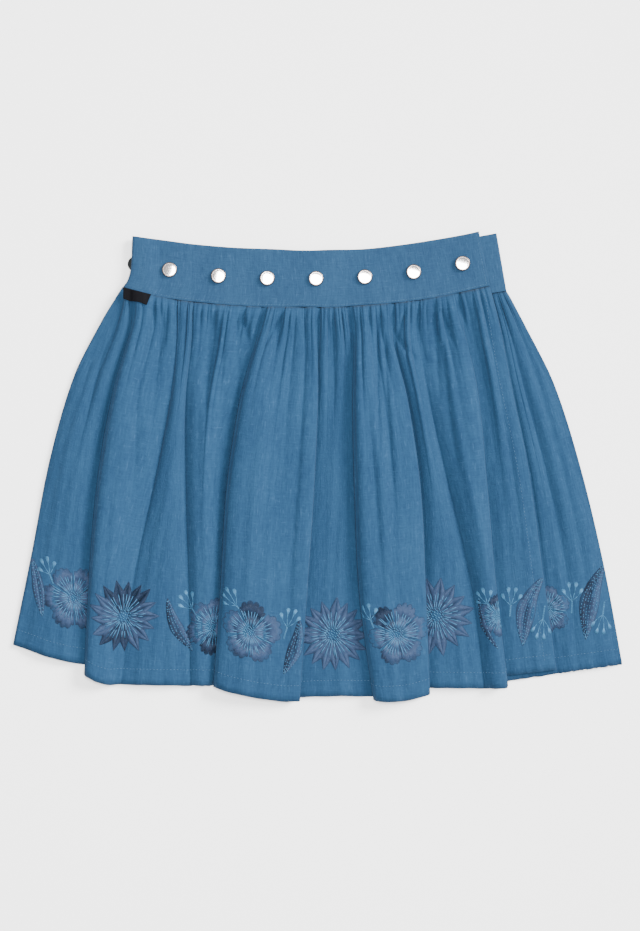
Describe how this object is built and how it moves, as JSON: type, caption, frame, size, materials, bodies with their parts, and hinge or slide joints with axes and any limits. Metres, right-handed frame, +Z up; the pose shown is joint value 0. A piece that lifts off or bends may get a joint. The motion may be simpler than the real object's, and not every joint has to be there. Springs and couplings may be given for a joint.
{
  "type": "denim wrap skirt",
  "caption": "Gathered denim wrap skirt laid flat and snapped shut, with a snap waistband, wide soft folds and an embroidered floral border.",
  "frame": {"origin": "middle of the skirt's outline, on the surface that it lies on", "axes": "+X across the skirt to the viewer's right, +Y from hem to waist, +Z up from the surface, out of the skirt's front"},
  "size_m": [0.6103, 0.4706, 0.0156],
  "materials": {
    "denim": "matte slubbed chambray denim with an embroidered border",
    "denim_band": "matte chambray denim, doubled and topstitched",
    "black_tape": "plain woven tape",
    "snap_metal": "bright nickel"
  },
  "bodies": {
    "root": {"skirt_back": "denim", "skirt_under_front": "denim", "skirt_front": "denim", "waistband": "denim_band", "seam_tab": "black_tape", "snap_cap_1": "snap_metal", "snap_cap_2": "snap_metal", "snap_cap_3": "snap_metal", "snap_cap_4": "snap_metal", "snap_cap_5": "snap_metal", "snap_cap_6": "snap_metal", "snap_cap_7": "snap_metal", "snap_cap_8": "snap_metal"}
  },
  "joints": []
}
